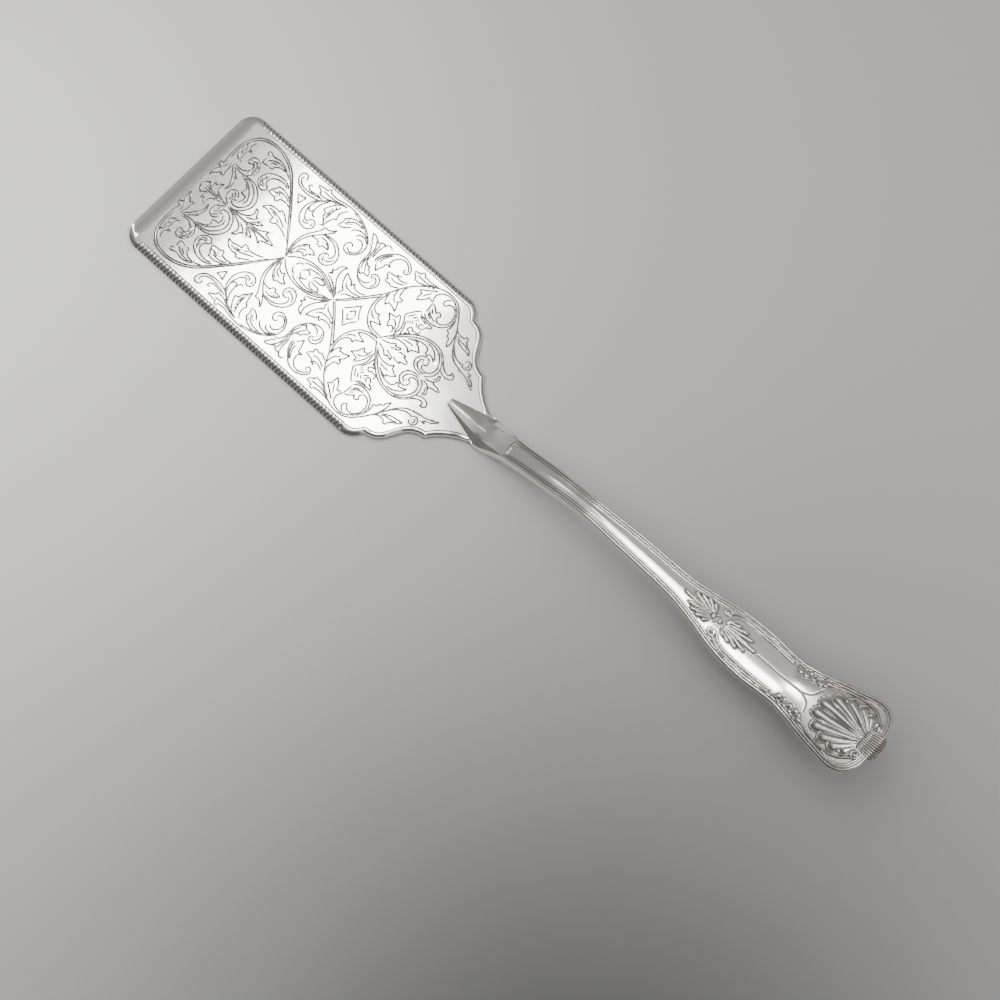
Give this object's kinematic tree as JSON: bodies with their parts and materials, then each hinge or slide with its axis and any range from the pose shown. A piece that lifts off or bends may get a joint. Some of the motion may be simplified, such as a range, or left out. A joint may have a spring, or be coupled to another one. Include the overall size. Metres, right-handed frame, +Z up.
{
  "type": "cake server",
  "caption": "Flat cake server: a broad bevelled blade with milled long edges and ogee shoulders, lap-soldered to an arched die-struck handle ending in a shell.",
  "frame": {"origin": "centre of the bounding box in plan, at the height of the blade's flat underside, as it rests on a table", "axes": "+X runs from the blade's front edge to the end of the handle, +Y across the blade, +Z up out of the blade's engraved face"},
  "size_m": [0.2364, 0.0494, 0.0242],
  "materials": {
    "blade_silver": "polished silver plate, engraved",
    "handle_silver": "polished silver plate, oxidised in the recesses",
    "solder": "dull hard solder"
  },
  "bodies": {
    "root": {"blade": "blade_silver", "handle": "handle_silver", "lap_solder": "solder"}
  },
  "joints": []
}
